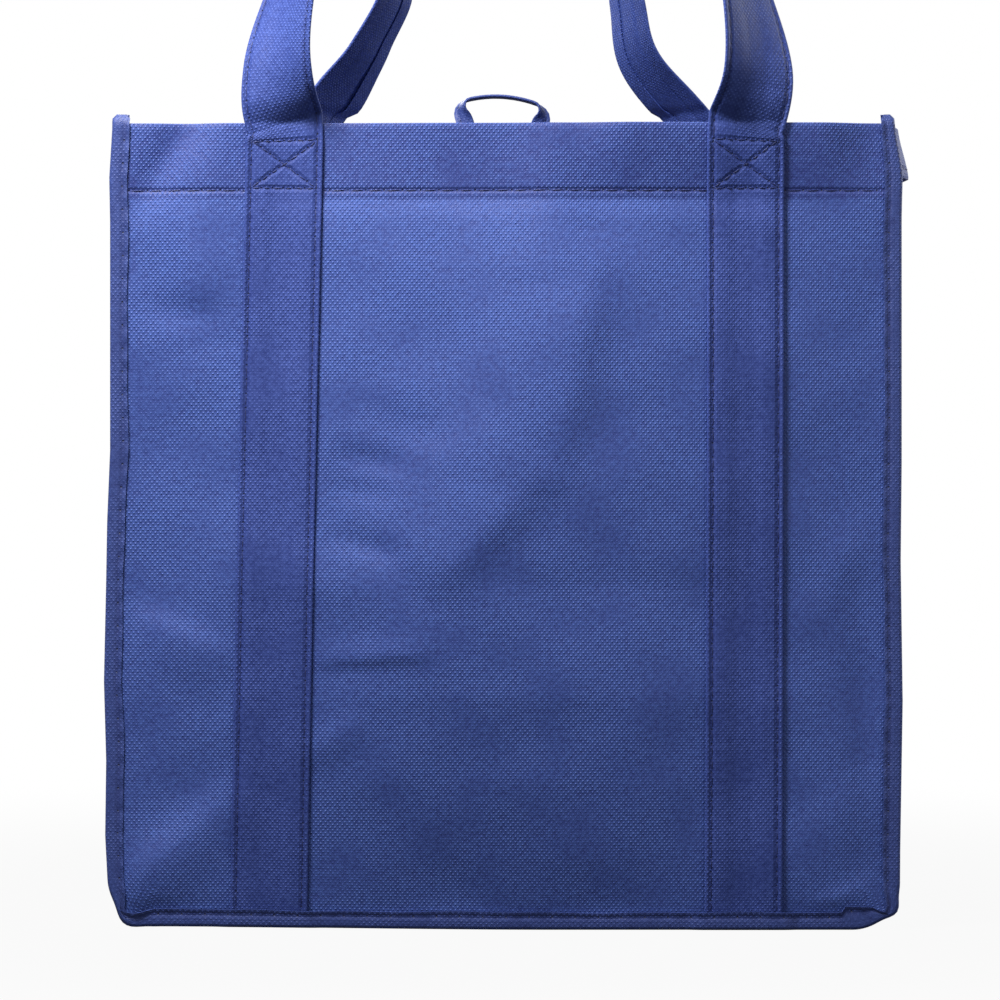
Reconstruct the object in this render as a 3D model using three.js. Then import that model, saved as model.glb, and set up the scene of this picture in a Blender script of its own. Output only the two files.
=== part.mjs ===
// A non-woven grocery tote: two hemmed panels, one long strip that makes both sides and the bottom,
// bound seams, two strap handles, a hang loop and a loose board on the bottom.
// Millimetres, +Z up, front panel towards -Y. The origin is under the middle of the bag, on the
// surface that the bound bottom edges stand on.

import * as THREE from "three";

// Bag
const bagWidth = 322; // across the bound side seams
const bagHeight = 328; // from the bottom edge to the top of the hem
const bagDepth = 203; // from the middle of the front panel to the middle of the back panel
const cornerRadius = 11; // where a side turns into the bottom
const sideBow = 8.5; // how far a side stands out, half way back, under its hem

// Cloth
const ply = 0.5; // thickness of one ply
const plyGap = 0.3; // air between two plies that are sewn together
const foldRadius = (ply + plyGap) / 2; // of the middle of the cloth in a flat fold
const rawEdgeRoom = 1.2; // from the raw edges of a seam to the middle of the tape folded round them

// Seams, hems and tape
const seamAllowance = 6.9; // from the side wall out to the raw edges
const seamBend = 1.5; // radius where the side strip turns out into the seam
const panelHem = 31; // how far the top of a panel is turned in
const sideHem = 22; // how far the top of a side is turned in
const hemRamp = 4; // over which the seam gets thinner below a hem
const tapeWidth = 7.3; // face of the binding tape
const tapeFoldDepth = 1.1; // how far the tape's round fold reaches past its flat faces
const tapeStandUp = 3.5; // how far the tape's ends stand above the hem

// Straps
const strapWidth = 31.5;
const strapTurnUnder = 9; // width of each turned edge
const strapSpacingTop = 187; // between the middles of a handle's two straps, at the hem
const strapSpacingBottom = 193; // the same at the bottom seam
const strapRamp = 7; // over which the tape climbs onto a strap end
const handleLength = 508; // free strap of one handle, from hem to hem
const archTwist = Math.PI / 2; // how far a strap turns up to the top of its arch, where it lies across

const frontHandle = {
  bendRadius: 70, // of the bend at the top
  crownLength: 0, // of the flatter stretch past the bend, up to the middle
  crownHeading: Math.PI / 2, // slant at which the bend ends and that stretch starts
  footHeading: -0.3, // how the strap leaves the hem, sideways from upright; minus is outwards
  footSettle: 50, // length of strap over which it straightens
  knee: 0.1, // how much further in it leans half way through that length
  footPitch: -0.38, // how it leaves the hem, front to back; minus is away from the bag
  backLean: 0.1, // how the rest leans in over the bag
  footTurn: 0.5, // share of its twist that it takes near the foot
  footTurnLength: 70, // length of strap over which it does
  turnFrom: 0, // where the rest of the twist starts
  turnOver: handleLength / 2, // length over which it comes
};
const backHandle = {
  bendRadius: 24,
  crownLength: 0,
  crownHeading: Math.PI / 2,
  footHeading: 0.3,
  footSettle: 80,
  knee: 0.4,
  footPitch: -0.15,
  backLean: 0.06,
  footTurn: 0.6,
  footTurnLength: 30,
  turnFrom: 0,
  turnOver: handleLength / 2,
};

// Hang loop, sewn inside the hem of the back panel
const loopWidth = 8;
const loopSpacing = 27; // between the middles of its two legs, at the hem
const loopLength = 98; // free length, from hem to hem
const loopRoute = {
  bendRadius: 5,
  crownLength: 15,
  crownHeading: 1.3,
  footHeading: 0,
  footSettle: 20,
  knee: 0,
  footPitch: -0.06,
  backLean: -0.02,
  footTurn: 0,
  footTurnLength: 20,
  turnFrom: 16,
  turnOver: 13,
};

// Board
const boardThickness = 2;
const boardRoom = 3; // to the panels
const boardCorner = 6;

// Sampling
const foldSteps = 4;
const cornerSteps = 5;
const routeStep = 0.5; // length of the short steps that a strap's route is summed over
const routeSamples = { foot: 8, run: 4, bend: 7, crown: 2 }; // stations in each stretch of half a strap arch

// Worked out from the sizes above
const plyPitch = ply + plyGap; // from the middle of one ply to the next
const panelY = bagDepth / 2;
const hemTop = bagHeight - ply / 2; // middle of the cloth in the fold along the hem
const tapeOut = seamAllowance + rawEdgeRoom; // side wall to the middle of the tape's fold
const wallX = bagWidth / 2 - ply / 2 - tapeOut;
const floorZ = ply / 2 + tapeOut; // middle of the bottom cloth
const rawX = wallX + seamAllowance;
const rawZ = floorZ - seamAllowance;
const rawRadius = cornerRadius + seamAllowance;
const strapLift = 2 * plyPitch; // a strap is two plies thick at its turned edges

const lerp = THREE.MathUtils.lerp;
const rise = (t) => THREE.MathUtils.smoothstep(t, 0, 1);

// Numbers from a to b in equal steps
function spread(a, b, steps) {
  return Array.from({ length: steps + 1 }, (_, i) => lerp(a, b, i / steps));
}

// A closed solid of cloth, from a grid of points on the middle of the cloth
function cloth(grid, thickness = ply) {
  const rows = grid.length;
  const columns = grid[0].length;
  const along = (get, i, last) => {
    const before = i > 0 ? get(i).clone().sub(get(i - 1)).normalize() : new THREE.Vector3();
    const after = i < last ? get(i + 1).clone().sub(get(i)).normalize() : new THREE.Vector3();
    return before.add(after);
  };
  const positions = [];
  for (const side of [1, -1]) {
    for (let i = 0; i < rows; i += 1) {
      for (let j = 0; j < columns; j += 1) {
        const down = along((k) => grid[k][j], i, rows - 1);
        const across = along((k) => grid[i][k], j, columns - 1);
        const normal = down.cross(across).normalize();
        const point = grid[i][j].clone().addScaledVector(normal, (side * thickness) / 2);
        positions.push(point.x, point.y, point.z);
      }
    }
  }
  const top = (i, j) => i * columns + j;
  const under = (i, j) => rows * columns + top(i, j);
  const index = [];
  const quad = (a, b, c, d) => index.push(a, b, c, a, c, d);
  for (let i = 0; i < rows - 1; i += 1) {
    for (let j = 0; j < columns - 1; j += 1) {
      quad(top(i, j), top(i + 1, j), top(i + 1, j + 1), top(i, j + 1));
      quad(under(i, j), under(i, j + 1), under(i + 1, j + 1), under(i + 1, j));
    }
    quad(top(i, 0), under(i, 0), under(i + 1, 0), top(i + 1, 0));
    quad(top(i, columns - 1), top(i + 1, columns - 1), under(i + 1, columns - 1), under(i, columns - 1));
  }
  for (let j = 0; j < columns - 1; j += 1) {
    quad(top(0, j), top(0, j + 1), under(0, j + 1), under(0, j));
    quad(top(rows - 1, j), under(rows - 1, j), under(rows - 1, j + 1), top(rows - 1, j + 1));
  }
  const geometry = new THREE.BufferGeometry();
  geometry.setAttribute("position", new THREE.Float32BufferAttribute(positions, 3));
  geometry.setIndex(index);
  geometry.computeVertexNormals();
  return geometry;
}

// A hem seen from its end: up the outside to the fold, over it and down the inside.
// Each station has its height and how far it lies inside the outer ply.
function hemFold(depth) {
  const turns = spread(0, Math.PI, foldSteps);
  const over = turns.map((turn) => ({
    z: hemTop - foldRadius * (1 - Math.sin(turn)),
    inside: foldRadius * (1 - Math.cos(turn)),
  }));
  return [...over, { z: bagHeight - depth, inside: 2 * foldRadius }];
}

// A panel: a flat cut piece with two round corners, its top edge folded to the inside.
// facing is -1 at the front and 1 at the back.
function panel(facing) {
  const rounding = spread(0, Math.PI / 2, cornerSteps).map((turn) => ({
    z: rawZ + rawRadius * (1 - Math.cos(turn)),
    half: rawX - rawRadius * (1 - Math.sin(turn)),
    inside: 0,
  }));
  const hem = hemFold(panelHem).map((station) => ({ ...station, half: rawX }));
  const grid = [...rounding, ...hem].map(({ z, half, inside }) => {
    const y = facing * (panelY - inside);
    return [-facing * half, facing * half].map((x) => new THREE.Vector3(x, y, z));
  });
  return cloth(grid);
}

// How many plies lie between the panel and the seam side of the strip at a height: one more beside
// the panel's hem, and another beside the strip's own hem
function pliesInSeam(z) {
  const hemPly = (hem) => rise((z - (bagHeight - hem - hemRamp)) / hemRamp);
  return 1 + hemPly(panelHem) + hemPly(sideHem);
}

// The heights, from the hem down, where the seam gets thinner or a side wall bends
function seamHeights() {
  const ramps = [sideHem, panelHem].flatMap((hem) => spread(bagHeight - hem, bagHeight - hem - hemRamp, 3));
  return [...ramps, (2 * bagHeight) / 3, bagHeight / 3];
}

// The line where the side walls and the bottom meet the seam, from the top of the left side, down,
// along the bottom and up the right side. out is the way the seam stands.
function seamLine(heights, crossings) {
  const arcMiddle = { x: wallX - cornerRadius, z: floorZ + cornerRadius };
  const side = heights.map((z) => ({ x: wallX, z, outX: 1, outZ: 0 }));
  const corner = spread(0, Math.PI / 2, cornerSteps).map((turn) => ({
    x: arcMiddle.x + cornerRadius * Math.cos(turn),
    z: arcMiddle.z - cornerRadius * Math.sin(turn),
    outX: Math.cos(turn),
    outZ: -Math.sin(turn),
  }));
  const right = [...side, ...corner];
  const left = right.map((station) => ({ ...station, x: -station.x, outX: -station.outX }));
  const bottom = crossings.map((x) => ({ x, z: floorZ, outX: 0, outZ: -1 }));
  return [...left, ...bottom, ...right.reverse()];
}

// How far a side wall stands out at a height, half way back
function bowAt(z) {
  return sideBow * rise((z - floorZ - cornerRadius) / (bagHeight - sideHem - floorZ - cornerRadius));
}

// The strip seen from its end: the front seam allowance, the bend, the wall, the bend and the back
// allowance. Each point has its place and the way to the inside of the bag.
function stripSection(plies, bow) {
  const seamY = panelY - plies * plyPitch;
  const wallY = seamY - seamBend;
  const bend = spread(Math.PI / 2, 0, 3).map((turn) => ({
    out: seamBend * (1 - Math.cos(turn)),
    y: wallY + seamBend * Math.sin(turn),
    insideOut: -Math.cos(turn),
    insideY: Math.sin(turn),
  }));
  const half = [{ out: seamAllowance, y: seamY, insideOut: 0, insideY: 1 }, ...bend];
  const wall = spread(wallY, -wallY, 6).slice(1, -1).map((y) => ({
    out: bow * (1 - (y / wallY) ** 2),
    y,
    insideOut: -1,
    insideY: 0,
  }));
  const mirrored = half.map((point) => ({ ...point, y: -point.y, insideY: -point.insideY }));
  return [...half, ...wall, ...mirrored.reverse()];
}

// The strip: one length of cloth that makes the left side, the bottom and the right side, with both
// ends hemmed to the inside and both long edges turned out into the seams
function gussetStrip() {
  const folded = (station, { z, inside }) => ({ ...station, z, inside });
  const line = seamLine(seamHeights(), [0]);
  const hem = hemFold(sideHem).reverse();
  const start = hem.map((fold) => folded(line[0], fold));
  const end = hem.map((fold) => folded(line[line.length - 1], fold)).reverse();
  const stations = [...start, ...line, ...end];
  const grid = stations.map(({ x, z, outX, outZ, inside = 0 }) => {
    const hemmed = inside > 0 ? 3 : pliesInSeam(z);
    return stripSection(hemmed, outZ === 0 ? bowAt(z) : 0).map((point) => {
      const out = point.out + inside * point.insideOut;
      return new THREE.Vector3(x + out * outX, -(point.y + inside * point.insideY), z + out * outZ);
    });
  });
  return cloth(grid);
}

// How far the tape is lifted where the bottom seam crosses a strap end, from 0 to 1
function overStrap(x) {
  const fromStrap = Math.abs(Math.abs(x) - strapSpacingBottom / 2) - strapWidth / 2 - plyGap;
  return 1 - rise(fromStrap / strapRamp);
}

// The binding tape of one seam: folded round the raw edges all the way, over the strap ends, with
// both ends pinched flat above the hem
function binding(facing) {
  const climb = spread(0, strapRamp, 3);
  const half = strapSpacingBottom / 2;
  const edge = strapWidth / 2 + plyGap;
  const inner = climb.map((step) => half - edge - step).reverse();
  const outer = climb.map((step) => half + edge + step);
  const strap = [...inner, ...outer];
  const crossings = [...strap.map((x) => -x).reverse(), ...strap];
  const ends = spread(bagHeight + tapeStandUp, bagHeight + plyGap, 2);
  const line = seamLine([...ends, ...seamHeights()], crossings);
  const fold = spread(0, Math.PI, 6);
  const foldFrom = tapeOut - tapeFoldDepth;
  const grid = line.map(({ x, z, outX, outZ }) => {
    const plies = pliesInSeam(z);
    const lift = outX === 0 ? overStrap(x) * strapLift : 0;
    const pinch = rise((z - bagHeight - plyGap) / (tapeStandUp - plyGap));
    const middle = (plies * plyPitch) / 2 - lift / 2;
    const spreadHalf = lerp(middle + plyPitch + lift, foldRadius, pinch);
    const round = fold.map((turn) => ({
      out: foldFrom + tapeFoldDepth * Math.sin(turn),
      inside: middle - spreadHalf * Math.cos(turn),
    }));
    const front = { out: tapeOut + ply / 2 - tapeWidth, inside: middle - spreadHalf };
    const back = { out: seamBend + plyGap, inside: middle + spreadHalf };
    return [front, ...round, back].map(({ out, inside }) => {
      const y = facing * (panelY - inside);
      return new THREE.Vector3(x + out * outX, y, z + out * outZ);
    });
  });
  if (facing > 0) grid.reverse();
  return cloth(grid);
}

// A free strap that arches between two feet, from the left foot up to the top of the arch.
// It leaves the foot at its own slant, straightens, leans in, bends over, and may end in a flatter
// crown.
function halfArch(halfSpacing, freeLength, shape) {
  const { bendRadius, crownLength, crownHeading, footHeading, footSettle, knee, footPitch, backLean } = shape;
  const half = freeLength / 2;
  const steps = Math.round(half / routeStep);
  const walk = (lean) => {
    const crownFrom = half - crownLength;
    const bendFrom = crownFrom - bendRadius * (crownHeading - lean);
    const places = [];
    const at = new THREE.Vector3(-halfSpacing, 0, 0);
    for (let i = 0; i <= steps; i += 1) {
      const s = (i * half) / steps;
      const settled = rise(s / footSettle);
      const kneeTurn = s < footSettle ? knee * Math.sin((Math.PI * s) / footSettle) ** 2 : 0;
      const settling = lerp(footHeading, lean, settled) + kneeTurn;
      const bending = s < bendFrom ? settling : lean + (s - bendFrom) / bendRadius;
      const onCrown = s > crownFrom ? (s - crownFrom) / crownLength : 0;
      const heading = lerp(Math.min(bending, crownHeading), Math.PI / 2, onCrown);
      const pitch = lerp(footPitch, backLean, settled);
      const along = new THREE.Vector3(
        Math.sin(heading),
        Math.cos(heading) * Math.sin(pitch),
        Math.cos(heading) * Math.cos(pitch),
      );
      places.push({ s, at: at.clone(), along, heading });
      at.addScaledVector(along, half / steps);
    }
    const stretches = [
      ...spread(0, footSettle, routeSamples.foot),
      ...spread(footSettle, bendFrom, routeSamples.run).slice(1),
      ...spread(bendFrom, crownFrom, routeSamples.bend).slice(1),
      ...(crownLength > 0 ? spread(crownFrom, half, routeSamples.crown).slice(1) : []),
    ];
    return { reach: at.x, picked: stretches.map((s) => places[Math.round((s / half) * steps)]) };
  };
  // The lean that brings the strap to the middle of the bag when it is used up
  let low = -Math.PI / 4;
  let high = Math.PI / 2;
  for (let i = 0; i < 40; i += 1) {
    const lean = (low + high) / 2;
    if (walk(lean).reach < 0) low = lean;
    else high = lean;
  }
  return walk((low + high) / 2).picked;
}

// The route of a strap: up one leg, through its free arch and down the other leg.
// Each station has its place, the way the strap runs and the way its face looks.
// facing is -1 where the face looks to the front.
function strapRoute(legs, halfSpacing, freeLength, shape, facing, y) {
  const free = halfArch(halfSpacing, freeLength, shape).slice(1).map(({ s, at, along, heading }) => {
    const { footTurn, footTurnLength, turnFrom, turnOver } = shape;
    const early = 1 - (1 - Math.min(s / footTurnLength, 1)) ** 2;
    const turned = archTwist * (footTurn * early + (1 - footTurn) * rise((s - turnFrom) / turnOver));
    const run = new THREE.Vector3(along.x, -facing * along.y, along.z);
    const sideways = new THREE.Vector3(-Math.cos(heading), 0, Math.sin(heading));
    const face = sideways.multiplyScalar(Math.sin(turned));
    face.y = facing * Math.cos(turned);
    face.addScaledVector(run, -face.dot(run)).normalize();
    return { at: new THREE.Vector3(at.x, y - facing * at.y, bagHeight + at.z), run, face };
  });
  const start = [...legs(), ...free];
  const end = start.slice(0, -1).reverse().map(({ at, run, face }) => ({
    at: new THREE.Vector3(-at.x, at.y, at.z),
    run: new THREE.Vector3(run.x, -run.y, -run.z),
    face: new THREE.Vector3(-face.x, face.y, face.z),
  }));
  return [...start, ...end];
}

// A strap: its section, given across and out from the bag, carried along a route
function strap(route, section) {
  const grid = route.map(({ at, run, face }) => {
    const across = run.clone().cross(face).normalize();
    return section.map(({ side, out }) => {
      return at.clone().addScaledVector(across, side).addScaledVector(face, out);
    });
  });
  return cloth(grid);
}

// A handle: one strap with both edges turned under, sewn up the panel from the bottom seam,
// free above the hem and sewn down again
function handle(facing, shape) {
  const edge = strapWidth / 2 - ply / 2 - foldRadius;
  const turns = spread(-Math.PI / 2, Math.PI / 2, foldSteps);
  const rightFold = turns.map((turn) => ({
    side: edge + foldRadius * Math.cos(turn),
    out: foldRadius * (1 + Math.sin(turn)),
  }));
  const rightHalf = [{ side: strapWidth / 2 - strapTurnUnder, out: 0 }, ...rightFold];
  const leftHalf = rightHalf.map(({ side, out }) => ({ side: -side, out }));
  const section = [...leftHalf, ...rightHalf.reverse()];
  const legs = () => spread(rawZ + plyPitch, bagHeight, 2).map((z) => {
    const spacing = lerp(strapSpacingBottom, strapSpacingTop, z / bagHeight);
    const run = new THREE.Vector3((strapSpacingBottom - strapSpacingTop) / 2, 0, bagHeight).normalize();
    const at = new THREE.Vector3(-spacing / 2, facing * (panelY + plyPitch), z);
    return { at, run, face: new THREE.Vector3(0, facing, 0) };
  });
  const y = facing * (panelY + plyPitch);
  return strap(strapRoute(legs, strapSpacingTop / 2, handleLength, shape, facing, y), section);
}

// The hang loop: a tape folded in half lengthwise, its legs sewn inside the hem of the back panel
function hangLoop() {
  const turns = spread(-Math.PI / 2, Math.PI / 2, foldSteps);
  const far = loopWidth / 2 - ply / 2 - foldRadius;
  const section = [
    { side: -loopWidth / 2, out: 0 },
    ...turns.map((turn) => ({
      side: far + foldRadius * Math.cos(turn),
      out: foldRadius * (1 + Math.sin(turn)),
    })),
    { side: -loopWidth / 2, out: 2 * foldRadius },
  ];
  const y = panelY - 2 * plyPitch;
  const legs = () => [bagHeight - panelHem, bagHeight].map((z) => ({
    at: new THREE.Vector3(-loopSpacing / 2, y, z),
    run: new THREE.Vector3(0, 0, 1),
    face: new THREE.Vector3(0, -1, 0),
  }));
  return strap(strapRoute(legs, loopSpacing / 2, loopLength, loopRoute, -1, y), section);
}

// The board that keeps the bottom flat: it lies loose between the panels and ends where the sides
// start to turn up
function bottomBoard() {
  const halfLength = wallX - cornerRadius;
  const halfDepth = panelY - 3 * plyPitch - boardRoom;
  const outline = new THREE.Shape();
  outline.moveTo(-halfLength + boardCorner, -halfDepth);
  outline.lineTo(halfLength - boardCorner, -halfDepth);
  outline.absarc(halfLength - boardCorner, -halfDepth + boardCorner, boardCorner, -Math.PI / 2, 0);
  outline.absarc(halfLength - boardCorner, halfDepth - boardCorner, boardCorner, 0, Math.PI / 2);
  outline.absarc(-halfLength + boardCorner, halfDepth - boardCorner, boardCorner, Math.PI / 2, Math.PI);
  outline.absarc(-halfLength + boardCorner, -halfDepth + boardCorner, boardCorner, Math.PI, 1.5 * Math.PI);
  return new THREE.ExtrudeGeometry(outline, { depth: boardThickness, bevelEnabled: false, curveSegments: 5 });
}

// Materials
function blueCloth(color, roughness = 0.8) {
  return new THREE.MeshStandardMaterial({ color, roughness, metalness: 0 });
}

const panelBlue = "#2c3f8e";
const strapBlue = "#303f86";
const tapeBlue = "#2b3474";
const boardGrey = new THREE.MeshStandardMaterial({ color: "#1d2230", roughness: 0.6, metalness: 0 });

const bag = new THREE.Group();

function add(name, geometry, material) {
  const mesh = new THREE.Mesh(geometry, material);
  mesh.name = name;
  bag.add(mesh);
  return mesh;
}

add("front_panel", panel(-1), blueCloth(panelBlue));
add("back_panel", panel(1), blueCloth(panelBlue));
add("gusset_strip", gussetStrip(), blueCloth(panelBlue));
add("front_binding", binding(-1), blueCloth(tapeBlue));
add("back_binding", binding(1), blueCloth(tapeBlue));
add("front_handle", handle(-1, frontHandle), blueCloth(strapBlue));
add("back_handle", handle(1, backHandle), blueCloth(strapBlue));
add("hang_loop", hangLoop(), blueCloth(strapBlue));
add("bottom_board", bottomBoard(), boardGrey).position.z = floorZ + ply / 2 + plyGap;

export default bag;
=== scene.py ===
# A non-woven grocery tote, photographed from the front on a white table.
# Its cloth is laid out in millimetres and put into the scene in metres.

import math

import bpy
import numpy as np
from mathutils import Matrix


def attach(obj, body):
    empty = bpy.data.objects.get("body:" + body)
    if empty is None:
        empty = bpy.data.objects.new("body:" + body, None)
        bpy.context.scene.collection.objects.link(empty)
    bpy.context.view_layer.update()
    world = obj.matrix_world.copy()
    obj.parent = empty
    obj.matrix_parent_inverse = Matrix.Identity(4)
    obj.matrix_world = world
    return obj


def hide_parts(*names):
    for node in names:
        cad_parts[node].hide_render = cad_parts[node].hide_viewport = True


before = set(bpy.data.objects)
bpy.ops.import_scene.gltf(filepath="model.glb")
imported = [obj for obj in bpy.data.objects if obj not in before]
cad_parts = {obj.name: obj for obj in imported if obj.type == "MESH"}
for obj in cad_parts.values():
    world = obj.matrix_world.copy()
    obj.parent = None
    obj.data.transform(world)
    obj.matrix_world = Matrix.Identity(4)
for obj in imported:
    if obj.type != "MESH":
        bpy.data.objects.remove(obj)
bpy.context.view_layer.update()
bpy.ops.object.select_all(action="DESELECT")

# Studio: a white table top without an end, four soft lights and a level camera that looks at the
# middle of the front panel. The key light is high on the left and close to the bag, a weak fill
# is in front on the right, and two more stand beside the bag and behind it.

photo_width = 1000
millimetres_per_pixel = 0.4066
sensor_width = 36
camera_distance = 1.49
camera_height = 0.1748
camera_x = -0.0024
panel_front = -0.1015

bpy.ops.object.camera_add(
    location=(camera_x, panel_front - camera_distance, camera_height),
    rotation=(math.radians(90), 0, 0),
)
camera = bpy.context.object
camera.data.sensor_width = sensor_width
camera.data.lens = sensor_width * camera_distance * 1000 / (photo_width * millimetres_per_pixel)
camera.data.clip_end = 50
bpy.context.scene.camera = camera


def soft_light(name, place, aim, size, watts):
    """A round area light at place that faces aim, size metres across"""
    bpy.ops.object.light_add(type="AREA", location=place)
    light = bpy.context.object
    light.name = name
    light.data.shape = "DISK"
    light.data.size = size
    light.data.energy = watts
    way = np.array(aim) - np.array(place)
    light.rotation_euler = (
        math.atan2(math.hypot(way[0], way[1]), -way[2]),
        0,
        math.atan2(way[1], way[0]) - math.pi / 2,
    )


soft_light("key_light", (-0.28, -0.39, 0.81), (-0.06, -0.1, 0.28), 0.22, 10.2)
soft_light("fill_light", (0.9, -1.0, 0.7), (0, -0.1, 0.25), 0.7, 2.2)
soft_light("side_light", (0.95, 0.3, 0.62), (0.1, 0.02, 0.25), 0.4, 4.5)
soft_light("back_light", (-0.4, 1.1, 0.95), (0, 0, 0.2), 0.8, 15)


class Wire:
    """A socket in a material's node tree. Arithmetic on it adds the Math nodes that do it."""

    def __init__(self, tree, socket=None):
        self.tree = tree
        self.socket = socket

    def node(self, kind, settings=None, sockets=None, output=0):
        added = self.tree.nodes.new(kind)
        for key, value in (settings or {}).items():
            setattr(added, key, value)
        for key, value in (sockets or {}).items():
            if isinstance(value, Wire):
                self.tree.links.new(value.socket, added.inputs[key])
            else:
                added.inputs[key].default_value = value
        return Wire(self.tree, added.outputs[output])

    def math(self, operation, *values):
        return self.node("ShaderNodeMath", {"operation": operation}, dict(enumerate(values)))

    def __add__(self, other):
        return self.math("ADD", self, other)

    def __radd__(self, other):
        return self.math("ADD", other, self)

    def __sub__(self, other):
        return self.math("SUBTRACT", self, other)

    def __rsub__(self, other):
        return self.math("SUBTRACT", other, self)

    def __mul__(self, other):
        return self.math("MULTIPLY", self, other)

    def __rmul__(self, other):
        return self.math("MULTIPLY", other, self)

    def __truediv__(self, other):
        return self.math("DIVIDE", self, other)

    def within(self, low, high):
        """1 between the two limits and 0 outside them"""
        return self.math("GREATER_THAN", self, low) * self.math("LESS_THAN", self, high)

    def fade(self, start, end):
        """0 at start, 1 at end, smooth between"""
        return self.node(
            "ShaderNodeMapRange",
            {"interpolation_type": "SMOOTHSTEP"},
            {0: self, 1: start, 2: end, 3: 0.0, 4: 1.0},
        )


def largest(wires):
    """The largest of several values"""
    found = wires[0]
    for other in wires[1:]:
        found = found.math("MAXIMUM", found, other)
    return found


def blend(wire, amount, first, second):
    """The first colour where the amount is 0 and the second where it is 1"""
    return wire.node("ShaderNodeMix", {"data_type": "RGBA"}, {0: amount, 6: first, 7: second}, 2)


def start_material(name):
    material = bpy.data.materials.new(name)
    material.use_nodes = True
    material.node_tree.nodes.clear()
    return material, Wire(material.node_tree)


def show_surface(wire, surface):
    output = wire.tree.nodes.new("ShaderNodeOutputMaterial")
    wire.tree.links.new(surface.socket, output.inputs["Surface"])


# To the camera the table is white. The light that it throws back on the bag is dim.
table_white = 0.94
table_material, wire = start_material("white_table")
matte = wire.node("ShaderNodeBsdfDiffuse", {}, {"Color": (0.1, 0.1, 0.1, 1)})
glow = wire.node("ShaderNodeEmission", {}, {"Color": (1, 1, 1, 1), "Strength": 1.0})
seen = wire.node("ShaderNodeLightPath", output="Is Camera Ray")
spot = wire.node("ShaderNodeTexCoord", output="Object")
away = wire.node("ShaderNodeVectorMath", {"operation": "LENGTH"}, {0: spot}, "Value")
white_share = seen * (table_white + away.fade(0.2, 0.75) * (1 - table_white))
show_surface(wire, wire.node("ShaderNodeMixShader", {}, {0: white_share, 1: matte, 2: glow}))

bpy.ops.mesh.primitive_plane_add(size=12)
table_top = bpy.context.object
table_top.name = "table_top"
table_top.data.materials.append(table_material)

# The room is white where it is seen, and dim where it only lights the bag.
world = bpy.data.worlds.new("white_room")
bpy.context.scene.world = world
world.use_nodes = True
world.node_tree.nodes.clear()
wire = Wire(world.node_tree)
straight_rays = ("Is Camera Ray", "Is Glossy Ray", "Is Transmission Ray")
white_seen = largest([wire.node("ShaderNodeLightPath", output=ray) for ray in straight_rays])
dim = wire.node("ShaderNodeBackground", {}, {"Color": (1, 0.96, 1, 1), "Strength": 0.13})
white = wire.node("ShaderNodeBackground", {}, {"Color": (1, 1, 1, 1), "Strength": 1.0})
sky = wire.node("ShaderNodeMixShader", {}, {0: white_seen, 1: dim, 2: white})
world_output = world.node_tree.nodes.new("ShaderNodeOutputWorld")
world.node_tree.links.new(sky.socket, world_output.inputs["Surface"])
bpy.context.scene.view_settings.view_transform = "Standard"

# Front panel: one cut piece of embossed non-woven cloth, its top turned in as a deep hem and sewn
# down. It hangs slack between its bound edges, so it swells out and keeps soft creases.

bag_width = 322
bag_height = 328
panel_y = 101.5
ply = 0.5
ply_pitch = 0.8
fold_radius = 0.4
fold_length = math.pi * fold_radius
panel_hem = 31
hem_stitch = 300.6
corner_radius = 11
seam_allowance = 6.9
tape_out = 8.1
wall_x = bag_width / 2 - ply / 2 - tape_out
floor_z = ply / 2 + tape_out
raw_x = wall_x + seam_allowance
raw_z = floor_z - seam_allowance
raw_radius = corner_radius + seam_allowance
hem_start = bag_height - ply / 2 - fold_radius


def smooth(start, end, value):
    step = np.clip((value - start) / (end - start), 0, 1)
    return step * step * (3 - 2 * step)


def mound(middle, width, value):
    """1 at the middle, falling away smoothly on both sides of it"""
    return np.exp(-(((value - middle) / width) ** 2))


def crease(x, z, start, end, width, height, lee):
    """A soft fold from start to end, lee times as wide on the right-hand side of that way"""
    run_x, run_z = end[0] - start[0], end[1] - start[1]
    length = math.hypot(run_x, run_z)
    along = ((x - start[0]) * run_x + (z - start[1]) * run_z) / length**2
    across = ((x - start[0]) * run_z - (z - start[1]) * run_x) / length
    across = np.where(across > 0, across / lee, across)
    taper = np.clip(1 - (2 * along - 1) ** 2, 0, None)
    return height * taper * mound(0, width, across)


# Each crease is its start, its end, its width, its height and its lee, in mm on the panel.
front_creases = [
    ((-118, 348), (-154, 286), 8, -2.4, 1.0),
    ((-107, 348), (-127, 282), 9, 1.0, 1.0),
    ((22, 350), (16, 262), 17, 2.2, 1.0),
    ((36, 285), (16, 176), 12, 3.0, 3.6),
    ((18, 192), (-34, 138), 11, 2.6, 3.2),
    ((-66, 215), (-20, 198), 8, -0.8, 1.0),
    ((-72, 194), (-38, 188), 5, -0.8, 1.0),
    ((-74, 180), (-42, 176), 4.5, -0.6, 1.0),
    ((-74, 161), (-38, 151), 5, -0.9, 1.0),
    ((-28, 112), (-80, 109), 2.2, 1.1, 3.6),
    ((-82, 68), (-56, 88), 6, 0.9, 1.4),
    ((-157, 130), (-108, 107), 7, 1.9, 3.5),
    ((-151, 113), (-112, 84), 9, -0.5, 1.0),
    ((-165, 3), (-103, 60), 9, 2.5, 1.8),
    ((-127, 300), (-119, 238), 15, 1.7, 1.0),
    ((-152, 253), (-112, 249), 7, -1.0, 1.0),
    ((143, 155), (148, 12), 7, -1.1, 1.0),
    ((116, 112), (152, 176), 9, 0.8, 1.0),
    ((106, 22), (160, 66), 14, 1.7, 2.0),
    ((120, 6), (153, 21), 4, 0.7, 1.6),
    ((94, 297), (110, 280), 4.0, 0.8, 1.0),
]
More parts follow.
